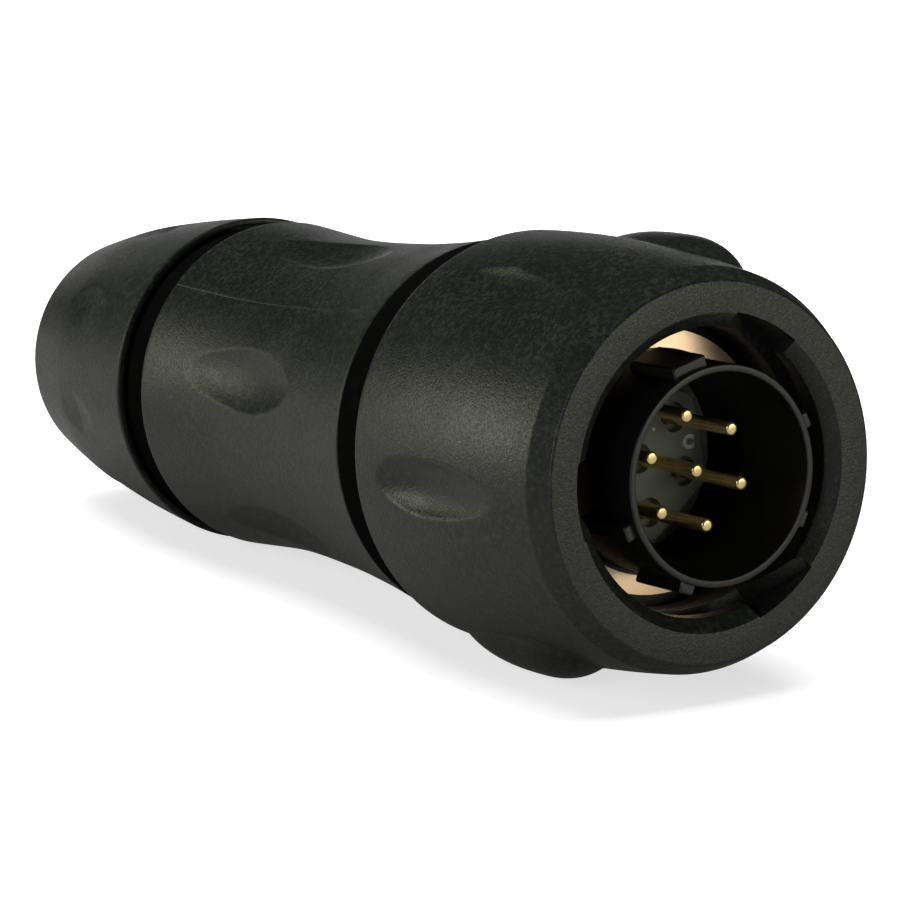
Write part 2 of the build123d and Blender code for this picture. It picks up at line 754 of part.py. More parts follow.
slip_washer.part.label = "slip_washer"
export_step(slip_washer.part, "parts/slip_washer.step")

with BuildPart(plug_plane) as gland_bush:
    with BuildSketch(half_section):
        tube_section(bush_bore_radius, bush_seat_radius - bush_clearance, bush_seat_depth, bush_rear_depth)
    revolve(axis=plug_axis)

gland_bush.part.label = "gland_bush"
export_step(gland_bush.part, "parts/gland_bush.step")

print("rest tilt", degrees(rest_tilt))
print("axis height", axis_height)
print("front x", front_x)
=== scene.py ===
"""Circular connector plug, lying on its side on a pale studio floor."""
import json
import math

import bmesh
import bpy
from mathutils import Euler, Matrix, Vector


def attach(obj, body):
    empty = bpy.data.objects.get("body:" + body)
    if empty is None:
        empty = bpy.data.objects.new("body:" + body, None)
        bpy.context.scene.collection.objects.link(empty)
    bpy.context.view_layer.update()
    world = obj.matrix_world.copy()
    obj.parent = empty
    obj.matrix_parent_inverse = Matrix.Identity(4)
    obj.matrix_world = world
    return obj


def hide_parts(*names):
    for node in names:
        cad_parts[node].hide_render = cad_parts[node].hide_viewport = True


bl_info = {
    "name": "Circular connector plug",
    "version": (1, 0, 0),
    "blender": (4, 5, 0),
    "location": "View3D > Sidebar > Connector",
    "description": "Moulded plug with a bayonet coupling ring, gold pins and a cable gland",
    "category": "Object",
}

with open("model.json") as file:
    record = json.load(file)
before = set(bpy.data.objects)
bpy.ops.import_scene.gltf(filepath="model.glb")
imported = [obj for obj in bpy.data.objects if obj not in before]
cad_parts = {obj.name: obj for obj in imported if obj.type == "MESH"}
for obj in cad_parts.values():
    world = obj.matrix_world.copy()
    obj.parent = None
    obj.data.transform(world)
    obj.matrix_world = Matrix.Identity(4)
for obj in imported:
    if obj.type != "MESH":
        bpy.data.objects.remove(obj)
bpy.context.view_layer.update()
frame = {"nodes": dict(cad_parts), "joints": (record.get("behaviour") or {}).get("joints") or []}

MM = 0.001
RING_JOINT = next(joint for joint in frame["joints"] if joint["name"] == "ring_turn")
FACE_CENTRE = Vector(RING_JOINT["pos_m"])
FORWARD = Vector(RING_JOINT["axis"]).normalized()
SIDE = Vector((0.0, -1.0, 0.0))
UP = SIDE.cross(FORWARD)
PLUG_TURN = Matrix((UP, SIDE, FORWARD)).transposed()
PLUG = Matrix.Translation(FACE_CENTRE) @ PLUG_TURN.to_4x4()


def length(name, description, millimetres):
    """A size in the sidebar, given in millimetres and kept in metres."""
    return bpy.props.FloatProperty(
        name=name, description=description, default=millimetres * MM, unit="LENGTH", subtype="DISTANCE", precision=4
    )


def turn(name, description, degrees):
    """An angle round the plug's axis from straight up."""
    return bpy.props.FloatProperty(
        name=name, description=description, default=math.radians(degrees), unit="ROTATION", subtype="ANGLE"
    )


def colour(name, description, value):
    """A colour in the sidebar."""
    return bpy.props.FloatVectorProperty(
        name=name, description=description, default=value, size=3, subtype="COLOR", min=0.0, max=1.0
    )


def strength(name, description, value):
    """How strong a lamp is."""
    return bpy.props.FloatProperty(name=name, description=description, default=value, min=0.0)


class CouplingRingSizes(bpy.types.PropertyGroup):
    """Sizes of the domed coupling ring"""

    ring_length: length("Length", "From the front face to the rear edge", 37.0)
    crest_radius: length("Crest Radius", "Largest radius of the dome", 24.7)
    crest_depth: length("Crest Depth", "Distance of the crest behind the front face", 26.0)
    dome_radius: length("Dome Curve", "Radius of the dome's lengthwise curve", 175.0)
    face_radius: length("Face Radius", "Outer radius of the flat front face", 21.8)
    opening_radius: length("Opening Radius", "Radius of the front opening", 16.5)
    track_radius: length("Track Radius", "Radius of the bayonet entries and ramps", 18.3)
    grip_turn: turn("Grip Turn", "Angle of the first lug", -26.4)


class BodySizes(bpy.types.PropertyGroup):
    """Sizes of the waisted handle body"""

    front_depth: length("Front Depth", "Distance of the body's front behind the ring's face", 43.2)
    rear_depth: length("Rear Depth", "Distance of the body's rear behind the ring's face", 93.9)
    front_radius: length("Front Radius", "Radius at the front", 22.8)
    shoulder_radius: length("Shoulder Radius", "Radius behind the front", 21.55)
    slope_radius: length("Slope Radius", "Radius on the way to the waist", 20.45)
    waist_radius: length("Waist Radius", "Smallest radius", 19.8)
    rear_radius: length("Rear Radius", "Radius at the rear", 20.65)
    thumb_turn: turn("Thumb Turn", "Angle of the first thumb scoop", 15.5)


class GlandNutSizes(bpy.types.PropertyGroup):
    """Sizes of the gland nut"""

    front_depth: length("Front Depth", "Distance of the nut's rim behind the ring's face", 99.6)
    rim_radius: length("Rim Radius", "Radius at the rim", 20.7)
    middle_radius: length("Middle Radius", "Radius half way along", 18.1)
    shoulder_radius: length("Shoulder Radius", "Radius where the end cone starts", 15.0)
    end_depth: length("End Depth", "Distance of the nut's end behind the ring's face", 138.8)
    end_radius: length("End Radius", "Radius of the flat end", 10.0)
    cable_radius: length("Cable Hole Radius", "Radius of the cable's hole", 7.2)
    grip_turn: turn("Grip Turn", "Angle of the first grip scoop", 13.6)


class ContactSizes(bpy.types.PropertyGroup):
    """Sizes of the shroud, the insert and the pins"""

    pin_diameter: length("Pin Diameter", "Diameter of a contact pin", 1.6)
    pitch: length("Pitch", "Distance from the middle pin to the others", 6.5)
    tip_depth: length("Tip Depth", "Distance of the pin tips behind the ring's face", 2.8)
    insert_depth: length("Insert Depth", "Distance of the insert's raised face behind the ring's face", 14.3)
    shroud_radius: length("Shroud Radius", "Outer radius of the thin shroud", 12.6)
    shroud_wall: length("Shroud Wall", "Wall of the thin shroud", 0.85)
    contact_turn: turn("Contact Turn", "Angle of the first outer pin", 10.6)
    outer_pins: bpy.props.IntProperty(name="Outer Pins", description="Pins round the middle one", default=6, min=1)


class FinishColours(bpy.types.PropertyGroup):
    """Colours of the plug's finishes"""

    housing: colour("Housing", "Textured black plastic of the ring, body and nut", (0.0096, 0.0114, 0.0094))
    # Near black, darker than the housing: partly the shroud's own dark plastic, partly painted shade for its shaded
    # inside.
    shroud: colour("Shroud", "Smooth dark plastic of the shroud", (0.002, 0.002, 0.002))
    insulator: colour("Insulator", "Grey plastic that holds the pins", (0.2, 0.22, 0.19))
    gold: colour("Gold", "Plating of the contact pins", (1.0, 0.75, 0.34))
    copper: colour("Copper", "Spring alloy of the wave spring", (0.93, 0.66, 0.47))
    # Near black: partly the rubber's own colour, partly painted shade of the gaps the bands fill.
    rubber: colour("Rubber", "Black rubber of the bands and bushes", (0.003, 0.003, 0.003))
    steel: colour("Steel", "Plain steel of the clip and washer", (0.5, 0.5, 0.51))
    mark: colour("Mark", "Ink of the contact mark", (0.85, 0.85, 0.85))


class StageLook(bpy.types.PropertyGroup):
    """Camera, floor and lamps"""

    camera_place: bpy.props.FloatVectorProperty(
        name="Camera Place", description="Where the camera stands", size=3, unit="LENGTH", subtype="TRANSLATION",
        default=(0.511087, -0.320508, 0.146656),
    )
    camera_turn: bpy.props.FloatVectorProperty(
        name="Camera Turn", description="Which way the camera looks", size=3, unit="ROTATION", subtype="EULER",
        default=(math.radians(77.86), 0.0, math.radians(57.1834)),
    )
    lens: bpy.props.FloatProperty(name="Lens", description="Focal length on a 36 mm sensor", default=200.0, min=1.0)
    floor_size: bpy.props.FloatProperty(
        name="Floor Size", description="Width of the pale floor", default=8.0, unit="LENGTH", subtype="DISTANCE"
    )
    lamp_colour: colour("Lamp Colour", "Colour of the low lamps' light", (1.0, 1.0, 0.78))
    side_power: strength("Side Power", "Strength of the low side lamp", 2.6)
    fill_power: strength("Fill Power", "Strength of the lamp by the camera", 2.2)
    front_power: strength("Front Power", "Strength of the low front lamp", 2.2)
    rear_power: strength("Rear Power", "Strength of the low rear lamp", 0.6)
    top_power: strength("Top Power", "Strength of the overhead lamp", 12.0)
    sky: strength("Sky", "Strength of the even light from all round", 0.02)


# Node wiring


def operator_for(operation, swapped=False):
    """A Python operator that adds the maths node of the same meaning."""

    def apply(self, other):
        values = (other, self) if swapped else (self, other)
        return self.bench.maths(operation, *values)

    return apply


class Wire:
    """A value in a node tree, so that a rule for a shape or a finish reads as a sum."""

    __add__, __radd__ = operator_for("ADD"), operator_for("ADD", swapped=True)
    __sub__, __rsub__ = operator_for("SUBTRACT"), operator_for("SUBTRACT", swapped=True)
    __mul__, __rmul__ = operator_for("MULTIPLY"), operator_for("MULTIPLY", swapped=True)
    __truediv__, __rtruediv__ = operator_for("DIVIDE"), operator_for("DIVIDE", swapped=True)
    __pow__ = operator_for("POWER")
    __lt__ = operator_for("LESS_THAN")
    __gt__ = operator_for("GREATER_THAN")

    def __init__(self, bench, socket):
        self.bench = bench
        self.socket = socket

    def __abs__(self):
        return self.bench.maths("ABSOLUTE", self)


class Bench:
    """Adds nodes to one tree, for a shape or for a finish."""

    def __init__(self, tree):
        self.tree = tree

    def feed(self, socket, value):
        """Links a wire to a socket, or sets a plain value on it."""
        if isinstance(value, Wire):
            self.tree.links.new(value.socket, socket)
        else:
            socket.default_value = value

    def node(self, kind, settings=None, sockets=None, out=0):
        """One node of any kind: its settings first, then the values or wires of its sockets."""
        made = self.tree.nodes.new(kind)
        for key, value in (settings or {}).items():
            setattr(made, key, value)
        for key, value in (sockets or {}).items():
            self.feed(made.inputs[key], value)
        return Wire(self, made.outputs[out])

    def maths(self, operation, *values):
        return self.node("ShaderNodeMath", {"operation": operation}, dict(enumerate(values)))

    def parts(self, vector):
        """The three numbers of a vector."""
        made = self.tree.nodes.new("ShaderNodeSeparateXYZ")
        self.feed(made.inputs[0], vector)
        return [Wire(self, socket) for socket in made.outputs]

    def vector(self, x, y, z):
        return self.node("ShaderNodeCombineXYZ", sockets={0: x, 1: y, 2: z})

    def rise(self, value, low, high):
        """0 below low, 1 above high and a smooth rise between them."""
        settings = {"interpolation_type": "SMOOTHSTEP"}
        return self.node("ShaderNodeMapRange", settings, {"Value": value, "From Min": low, "From Max": high})

    def tint(self, factor, plain, changed):
        """A colour mix; sockets 6 and 7 are the two colours and output 2 is the mixed one."""
        return self.node("ShaderNodeMix", {"data_type": "RGBA"}, {0: factor, 6: opaque(plain), 7: opaque(changed)}, 2)

    def toned(self, factor, tone, change):
        """The tone, mixed by the factor with the same tone made darker or paler."""
        return self.tint(factor, tone, [part * change for part in tone])

    def off_axis(self, x, y):
        """Distance from the plug's axis."""
        return self.maths("SQRT", x * x + y * y)

    def light_path(self):
        """1 for what the camera looks at and 0 for what other light meets."""
        return Wire(self, self.tree.nodes.new("ShaderNodeLightPath").outputs["Is Camera Ray"])


def opaque(value):
    """A colour with its alpha."""
    return (*value, 1.0)


# Finishes


def new_finish(name):
    """A bare material: its bench, its shader node and its plug coordinates, height along the axis being Z."""
    material = bpy.data.materials.new(name)
    material.use_nodes = True
    bench = Bench(material.node_tree)
    shader = material.node_tree.nodes["Principled BSDF"]
    place = bench.node("ShaderNodeTexCoord", out=3)
    values = {"Vector": place, "Location": FACE_CENTRE, "Rotation": PLUG_TURN.to_euler()}
    plug_place = bench.node("ShaderNodeMapping", {"vector_type": "TEXTURE"}, values)
    return material, bench, shader, plug_place


def speckle(bench, place, grain, detail=2.0, rough=0.5):
    """Even noise with grains of about that size in millimetres."""
    sockets = {"Vector": place, "Scale": 1.0 / (grain * MM), "Detail": detail, "Roughness": rough}
    return bench.node("ShaderNodeTexNoise", None, sockets)


def dressed(bench, shader, colour_wire, roughness, bump_height, bump_depth, **values):
    """Feeds colour, roughness and bump, and sets the shader's fixed values; the bump's depth is in millimetres."""
    bench.feed(shader.inputs["Base Color"], colour_wire)
    bench.feed(shader.inputs["Roughness"], roughness)
    bump = bench.node("ShaderNodeBump", None, {"Height": bump_height, "Distance": bump_depth * MM, "Strength": 1.0})
    bench.feed(shader.inputs["Normal"], bump)
    for name, value in values.items():
        shader.inputs[name.replace("_", " ")].default_value = value


def housing_plastic(tone):
    """Spark-eroded black plastic: fine grain with paler specks, faint cloudiness and a mould parting line, the line
    also painted paler as a painted highlight along its ridge.
    """
    material, bench, shader, place = new_finish("housing_plastic")
    x, y, z = bench.parts(place)
    grain = speckle(bench, place, 0.3, 1.5, 0.5)
    specks = speckle(bench, place, 0.7, 3.0, 0.7)
    clouds = speckle(bench, place, 7.0, 4.0, 0.6)
    bearing = bench.maths("ARCTAN2", y, x)
    seam_turn, seam_front, seam_rear = math.radians(46.0), -43.0 * MM, -94.5 * MM
    seam_core, seam_edge = 0.06 * MM, 0.3 * MM
    off_seam = abs(bench.maths("WRAP", bearing - seam_turn, math.pi / 2, -math.pi / 2))
    radius = bench.off_axis(x, y)
    on_body = (z < seam_front) * (z > seam_rear)
    seam = (1.0 - bench.rise(off_seam * radius, seam_core, seam_edge)) * on_body
    # Paler random specks, plus the seam painted paler: a painted highlight along the parting ridge.
    pale_specks_and_seam_highlight = bench.rise(specks, 0.42, 0.68) * (0.4 + bench.rise(clouds, 0.3, 0.7) * 0.6) + seam * 0.15
    shade = bench.toned(bench.maths("MINIMUM", pale_specks_and_seam_highlight, 1.0), tone, 3.0)
    rough = 0.4 + (grain - 0.5) * 0.3 + (clouds - 0.5) * 0.2
    height = grain + specks * 0.4 + seam * 1.5
    dressed(bench, shader, shade, rough, height, 0.045, Specular_IOR_Level=0.42)
    return material


def smooth_plastic(tone, name, roughness):
    """Moulded plastic with a faint orange-peel surface."""
    material, bench, shader, place = new_finish(name)
    peel = speckle(bench, place, 0.8, 2.0, 0.4)
    clouds = speckle(bench, place, 5.0, 2.0, 0.5)
    shade = bench.toned(bench.rise(clouds, 0.35, 0.75) * 0.5, tone, 1.5)
    dressed(bench, shader, shade, roughness + (clouds - 0.5) * 0.15, peel, 0.008)
    return material


def plated_gold(tone):
    """Gold plating with fine turning lines, random duller patches and painted shade that darkens the pins towards
    their inner ends.
    """
    material, bench, shader, place = new_finish("plated_gold")
    x, y, z = bench.parts(place)
    stretch, root_depth, bright_depth = 0.05, -12.0 * MM, -3.5 * MM
    lines = speckle(bench, bench.vector(x * stretch, y * stretch, z), 0.12, 2.0, 0.5)
    patches = speckle(bench, place, 1.6, 3.0, 0.6)
    # Painted shade: the pins get darker deeper in, inside the shroud and the insert's wells.
    root_shade = 1.0 - bench.rise(z, root_depth, bright_depth)
    shade = bench.toned(bench.rise(patches, 0.3, 0.75) * 0.4 + root_shade * 0.25, tone, 0.55)
    dressed(bench, shader, shade, 0.16 + patches * 0.14, lines, 0.002, Metallic=0.9)
    return material


def sprung_copper(tone):
    """Rolled spring strip: fine lines round the axis and a little tarnish."""
    material, bench, shader, place = new_finish("sprung_copper")
    x, y, z = bench.parts(place)
    lines = speckle(bench, bench.vector(bench.off_axis(x, y), z, 0.0), 0.1, 2.0, 0.5)
    tarnish = speckle(bench, place, 2.2, 3.0, 0.6)
    shade = bench.toned(bench.rise(tarnish, 0.45, 0.8) * 0.5, tone, 0.6)
    dressed(bench, shader, shade, 0.24 + tarnish * 0.15, lines, 0.001, Metallic=1.0)
    return material


def black_rubber(tone):
    """Dull moulded rubber with fine dust, near black and almost unreflecting, partly as painted shade of the gaps the
    bands fill.
    """
    material, bench, shader, place = new_finish("black_rubber")
    peel = speckle(bench, place, 0.5, 2.0, 0.5)
    dust = speckle(bench, place, 3.0, 4.0, 0.7)
    shade = bench.toned(bench.rise(dust, 0.5, 0.8) * 0.5, tone, 2.4)
    dressed(bench, shader, shade, 0.75 + dust * 0.15, peel, 0.015, Specular_IOR_Level=0.01)
    return material


def plain_steel(tone):
    """Turned steel with rings round the axis."""
    material, bench, shader, place = new_finish("plain_steel")
    x, y, z = bench.parts(place)
    rings = speckle(bench, bench.vector(bench.off_axis(x, y), z * 0.2, 0.0), 0.15, 2.0, 0.5)
    stain = speckle(bench, place, 2.5, 3.0, 0.6)
    shade = bench.toned(bench.rise(stain, 0.4, 0.8) * 0.6, tone, 0.7)
    dressed(bench, shader, shade, 0.3 + rings * 0.12, rings, 0.006, Metallic=1.0)
    return material


def mark_ink(tone):
    """Pad-printed ink, a little worn."""
    material, bench, shader, place = new_finish("mark_ink")
    wear = speckle(bench, place, 0.3, 2.0, 0.6)
    shade = bench.toned(bench.rise(wear, 0.4, 0.7), tone, 0.6)
    dressed(bench, shader, shade, 0.5 + wear * 0.2, wear, 0.01)
    return material


def finish_named(name):
    """A finish by name, made from the sidebar's colours on its first use."""
    if name in bpy.data.materials:
        return bpy.data.materials[name]
    tones = bpy.context.scene.plug_finishes
    makers = {
        "housing_plastic": (housing_plastic, tones.housing),
        # The shroud's near-black tone is partly painted shade for its shaded inside.
        "shroud_plastic": (smooth_plastic, tones.shroud, name, 0.36),
        "insulator_plastic": (smooth_plastic, tones.insulator, name, 0.5),
        "plated_gold": (plated_gold, tones.gold),
        "sprung_copper": (sprung_copper, tones.copper),
        "black_rubber": (black_rubber, tones.rubber),
        "plain_steel": (plain_steel, tones.steel),
        "mark_ink": (mark_ink, tones.mark),
    }
    maker, *values = makers[name]
    return maker(*values)


# Shapes

TINY = 1e-9
WELD = 1e-7
ROUNDING_STEPS = 5
MOST_OF_HALF = 0.49


def millimetres(*values):
    """Millimetres as metres."""
    return tuple(value * MM for value in values)


def in_mm(*values):
    """Metres as millimetres."""
    return [value / MM for value in values]


def round_point(radius, bearing, depth):
    """A point in the plug's own directions, from millimetres and a bearing round the axis."""
    return millimetres(radius * math.cos(bearing), radius * math.sin(bearing), -depth)


def rounded(corners):
    """A closed half section from (radius, depth, rounding) corners, with its corners rounded."""
    points = []
    count = len(corners)
    for index, (radius, depth, rounding) in enumerate(corners):
        here = Vector((radius, depth))
        before = Vector(corners[index - 1][:2]) - here
        after = Vector(corners[(index + 1) % count][:2]) - here
        if rounding <= 0.0 or before.length < TINY or after.length < TINY:
            points.append((radius, depth))
            continue
        half = before.angle(after) / 2
        setback = min(rounding / math.tan(half), before.length * MOST_OF_HALF, after.length * MOST_OF_HALF)
        start = here + before.normalized() * setback
        end = here + after.normalized() * setback
        for step in range(ROUNDING_STEPS + 1):
            share = step / ROUNDING_STEPS
            bend = start.lerp(here, share).lerp(here.lerp(end, share), share)
            points.append((bend.x, bend.y))
    return points


def divided(points, longest, first_depth, last_depth):
    """The same closed half section with its outer stretches cut short enough for a fine relief."""
    result = []
    count = len(points)
    for index, (radius, depth) in enumerate(points):
        next_radius, next_depth = points[(index + 1) % count]
        result.append((radius, depth))
        span = math.hypot(next_radius - radius, next_depth - depth)
        inside = first_depth <= min(depth, next_depth) and max(depth, next_depth) <= last_depth
        if inside and next_depth > depth:
            pieces = math.ceil(span / longest)
            for piece in range(1, pieces):
                share = piece / pieces
                result.append((radius + share * (next_radius - radius), depth + share * (next_depth - depth)))
    return result


def smooth_line(knots, steps):
    """Points on a smooth line through the knots, which are (radius, depth) pairs."""
    line = []
    for index in range(len(knots) - 1):
        start = Vector(knots[index])
        end = Vector(knots[index + 1])
        before = Vector(knots[index - 1]) if index else start * 2 - end
        after = Vector(knots[index + 2]) if index + 2 < len(knots) else end * 2 - start
        square = 2 * before - 5 * start + 4 * end - after
        cube = 3 * start - before - 3 * end + after
        for step in range(steps):
            s = step / steps
            line.append(tuple(0.5 * (2 * start + (end - before) * s + square * s**2 + cube * s**3)))
    line.append(tuple(knots[-1]))
    return line


def new_object(name, vertices, faces):
    """A mesh object in the plug's own directions, with its faces turned outwards."""
    mesh = bpy.data.meshes.new(name)
    mesh.from_pydata(vertices, [], faces)
    work = bmesh.new()
    work.from_mesh(mesh)
    bmesh.ops.remove_doubles(work, verts=work.verts, dist=WELD)
    bmesh.ops.recalc_face_normals(work, faces=work.faces)
    work.to_mesh(mesh)
    work.free()
    made = bpy.data.objects.new(name, mesh)
    bpy.context.collection.objects.link(made)
    return made


def turned(name, section, segments):
    """A closed half section turned round the axis; points on the axis close into poles."""
    rows = len(section)
    vertices = []
    for column in range(segments):
        bearing = 2 * math.pi * column / segments
        for radius, depth in section:
            vertices.append((radius * math.cos(bearing), radius * math.sin(bearing), -depth))
    faces = []
    for column in range(segments):
        following = (column + 1) % segments
        for row in range(rows):
            next_row = (row + 1) % rows
            if section[row][0] < TINY and section[next_row][0] < TINY:
                continue
            here, there = column * rows, following * rows
            faces.append((here + row, here + next_row, there + next_row, there + row))
    return new_object(name, vertices, faces)


def disc(name, radius, front, rear, segments):
    """A plain disc on the axis, in millimetres."""
    corners = ((0, front), (radius, front), (radius, rear), (0, rear))
    return turned(name, [millimetres(*point) for point in corners], segments)


def stacked(name, loops):
    """A closed skin over loops of points with the same count, capped at both ends."""
    count = len(loops[0])
    vertices = [point for loop in loops for point in loop]
    faces = [tuple(range(count))]
    for level in range(len(loops) - 1):
        low, high = level * count, (level + 1) * count
        for index in range(count):
            following = (index + 1) % count
            faces.append((low + index, low + following, high + following, high + index))
    faces.append(tuple(range((len(loops) - 1) * count, len(loops) * count)))
    return new_object(name, vertices, faces)


def plain_result(made, name=None):
    """The object's evaluated shape as a plain mesh object; the one with modifiers is removed."""
    name = name or made.name
    bpy.context.view_layer.update()
    graph = bpy.context.evaluated_depsgraph_get()
    mesh = bpy.data.meshes.new_from_object(made.evaluated_get(graph), depsgraph=graph)
    result = bpy.data.objects.new("working_shape", mesh)
    bpy.context.collection.objects.link(result)
    bpy.data.objects.remove(made)
    result.name = name
    return result


def combined(made, tool, operation):
    """The object with the tool cut out of it or joined to it."""
    modifier = made.modifiers.new("shape", "BOOLEAN")
    modifier.operation = operation
    modifier.solver = "EXACT"
    modifier.object = tool
    result = plain_result(made)
    bpy.data.objects.remove(tool)
    return result


def with_nodes(made, tree, values):
    """Runs a shape tree on the object and keeps its result as a plain mesh."""
    modifier = made.modifiers.new(tree.name, "NODES")
    modifier.node_group = tree
    sockets = {item.name: item.identifier for item in tree.interface.items_tree if item.item_type == "SOCKET"}
    for key, value in values.items():
        modifier[sockets[key]] = value
    return plain_result(made)


def settled(made, finish_name, body, nodes, sharp=32.0):
    """Puts the finished shape where the plug lies, gives it its finish and ties it to its body."""
    made.data.transform(PLUG)
    work = bmesh.new()
    work.from_mesh(made.data)
    bmesh.ops.remove_doubles(work, verts=work.verts, dist=WELD)
    work.to_mesh(made.data)
    work.free()
    made.data.shade_smooth()
    made.data.set_sharp_from_angle(angle=math.radians(sharp))
    made.data.materials.clear()
    made.data.materials.append(finish_named(finish_name))
    if made.data.name != made.name:
        made.data.name = made.name
    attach(made, body)
    if nodes:
        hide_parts(*nodes)
    return made


# Shape trees

NONE_SKIPPED = 100


def new_tree(name, inputs):
    """A shape tree with a geometry input and output, and inputs named with their defaults."""
    kinds = {bool: "NodeSocketBool", int: "NodeSocketInt", float: "NodeSocketFloat"}
    tree = bpy.data.node_groups.new(name, "GeometryNodeTree")
    for way in ("INPUT", "OUTPUT"):
        tree.interface.new_socket("Geometry", in_out=way, socket_type="NodeSocketGeometry")
    for label, default in inputs.items():
        socket = tree.interface.new_socket(label, in_out="INPUT", socket_type=kinds[type(default)])
        socket.default_value = default
    bench = Bench(tree)
    entry = tree.nodes.new("NodeGroupInput")
    return bench, {socket.name: Wire(bench, socket) for socket in entry.outputs if socket.name}


def end_tree(bench, geometry, finish_name):
    """Ends a shape tree in real geometry with its finish."""
    real = bench.node("GeometryNodeRealizeInstances", None, {0: geometry})
    values = {"Geometry": real, "Material": finish_named(finish_name)}
    dressed_shape = bench.node("GeometryNodeSetMaterial", None, values)
    leave = bench.tree.nodes.new("NodeGroupOutput")
    bench.feed(leave.inputs[0], dressed_shape)
    return bench.tree


def grip_relief():
    """Lugs or scoops round a turned skin, each one the shape that a spindle leaves.

    The spindle lies along the plug, its line Tool Centre from the axis. It is Tool Radius thick at Middle
    Depth and thinner by Front Drop and Rear Drop at its ends. A lug grows to it and a scoop is cut by it.
    """
    bench, wires = new_tree(
        "grip_relief",
        {
            "Count": 6, "Skip Every": NONE_SKIPPED, "First Turn": 0.0, "Tool Centre": 0.03, "Tool Radius": 0.005,
            "Middle Depth": 0.02, "Front Length": 0.01, "Rear Length": 0.01, "Front Drop": 0.001,
            "Rear Drop": 0.001, "End Power": 2.0, "Crease": 0.0003, "Lug": 0.0, "Inner Limit": 0.019,
        },
    )
    place = bench.node("GeometryNodeInputPosition")
    x, y, z = bench.parts(place)
    radius = bench.off_axis(x, y)
    step = 2 * math.pi / wires["Count"]
    bearing = bench.maths("ARCTAN2", y, x) - wires["First Turn"]
    nearest = bench.maths("ROUND", bearing / step)
    local = bearing - nearest * step
    skip = wires["Skip Every"]
    skipped = (abs(bench.maths("FLOORED_MODULO", nearest, skip)) < 0.5) * (skip < NONE_SKIPPED / 2)
    along = 0.0 - z - wires["Middle Depth"]
    front = along < 0.0
    share_front = abs(along) / wires["Front Length"]
    share_rear = abs(along) / wires["Rear Length"]
    drop_front = wires["Front Drop"] * share_front ** wires["End Power"]
    drop_rear = wires["Rear Drop"] * share_rear ** wires["End Power"]
    tool = wires["Tool Radius"] - front * drop_front - (1.0 - front) * drop_rear
    across = wires["Tool Centre"] * bench.maths("SINE", local)
    inside = tool * abs(tool) - across * across
    reach = bench.maths("SQRT", bench.maths("MAXIMUM", inside, 0.0))
    foot = wires["Tool Centre"] * bench.maths("COSINE", local)
    missed = inside < 0.0
    crest = foot + reach - missed - skipped
    floor = foot - reach + missed + skipped
    grown = bench.maths("SMOOTH_MAX", radius, crest, wires["Crease"])
    cut = bench.maths("SMOOTH_MIN", radius, floor, wires["Crease"])
    wanted = wires["Lug"] * grown + (1.0 - wires["Lug"]) * cut
    outer = radius > wires["Inner Limit"]
    factor = 1.0 + outer * (wanted / bench.maths("MAXIMUM", radius, WELD * 10) - 1.0)
    moved = bench.vector(x * factor, y * factor, z)
    shape = bench.node("GeometryNodeSetPosition", None, {"Geometry": wires["Geometry"], "Position": moved})
    return end_tree(bench, shape, "housing_plastic")


def copies_round_axis():
    """Copies of the object round the plug's axis, with or without one in the middle."""
    values = {"Count": 6, "Distance": 0.0065, "First Turn": 0.0, "Middle Copy": True}
    bench, wires = new_tree("copies_round_axis", values)
    ring = bench.node("GeometryNodeMeshCircle", None, {"Vertices": wires["Count"], "Radius": wires["Distance"]})
    heading = bench.vector(0.0, 0.0, wires["First Turn"])
    ring = bench.node("GeometryNodeTransform", None, {"Geometry": ring, "Rotation": heading})
    order = bench.node("GeometryNodeInputIndex")
    facing = bench.vector(0.0, 0.0, wires["First Turn"] + order * (2 * math.pi / wires["Count"]))
    values = {"Points": ring, "Instance": wires["Geometry"], "Rotation": facing}
    outer = bench.node("GeometryNodeInstanceOnPoints", None, values)
    values = {"Switch": wires["Middle Copy"], "True": wires["Geometry"]}
    middle = bench.node("GeometryNodeSwitch", {"input_type": "GEOMETRY"}, values)
    joined = bench.node("GeometryNodeJoinGeometry", None, {0: outer})
    bench.feed(joined.socket.node.inputs[0], middle)
    return end_tree(bench, joined, "plated_gold")


def wavy_strip():
    """A flat spring strip bent round the axis, rising and falling in waves, with a small gap."""
    bench, wires = new_tree(
        "wavy_strip",
        {
            "Radius": 0.01445, "Width": 0.0027, "Thickness": 0.00035, "Waves": 3.0, "Wave Height": 0.0009,
            "Gap": 0.14, "Gap Turn": -1.5708, "Low Depth": 0.0119,
        },
    )
    sweep = 2 * math.pi - wires["Gap"]
    values = {"Resolution": 240, "Radius": wires["Radius"], "Start Angle": wires["Gap"] / 2, "Sweep Angle": sweep}
    arc = bench.node("GeometryNodeCurveArc", None, values)
    x, y, z = bench.parts(bench.node("GeometryNodeInputPosition"))
    bearing = bench.maths("ARCTAN2", y, x)
    lift = wires["Wave Height"] * (1.0 - bench.maths("COSINE", wires["Waves"] * bearing)) / 2
    wave = bench.node("GeometryNodeSetPosition", None, {"Geometry": arc, "Offset": bench.vector(0.0, 0.0, lift)})
    upright = bench.node("GeometryNodeSetCurveNormal", {"mode": "Z_UP"}, {0: wave})
    values = {"Width": wires["Width"], "Height": wires["Thickness"]}
    section = bench.node("GeometryNodeCurvePrimitiveQuadrilateral", None, values)
    values = {"Curve": upright, "Profile Curve": section, "Fill Caps": True}
    strip = bench.node("GeometryNodeCurveToMesh", None, values)
    down = bench.vector(0.0, 0.0, 0.0 - wires["Low Depth"])
    values = {"Geometry": strip, "Translation": down, "Rotation": bench.vector(0.0, 0.0, wires["Gap Turn"])}
    return end_tree(bench, bench.node("GeometryNodeTransform", None, values), "sprung_copper")


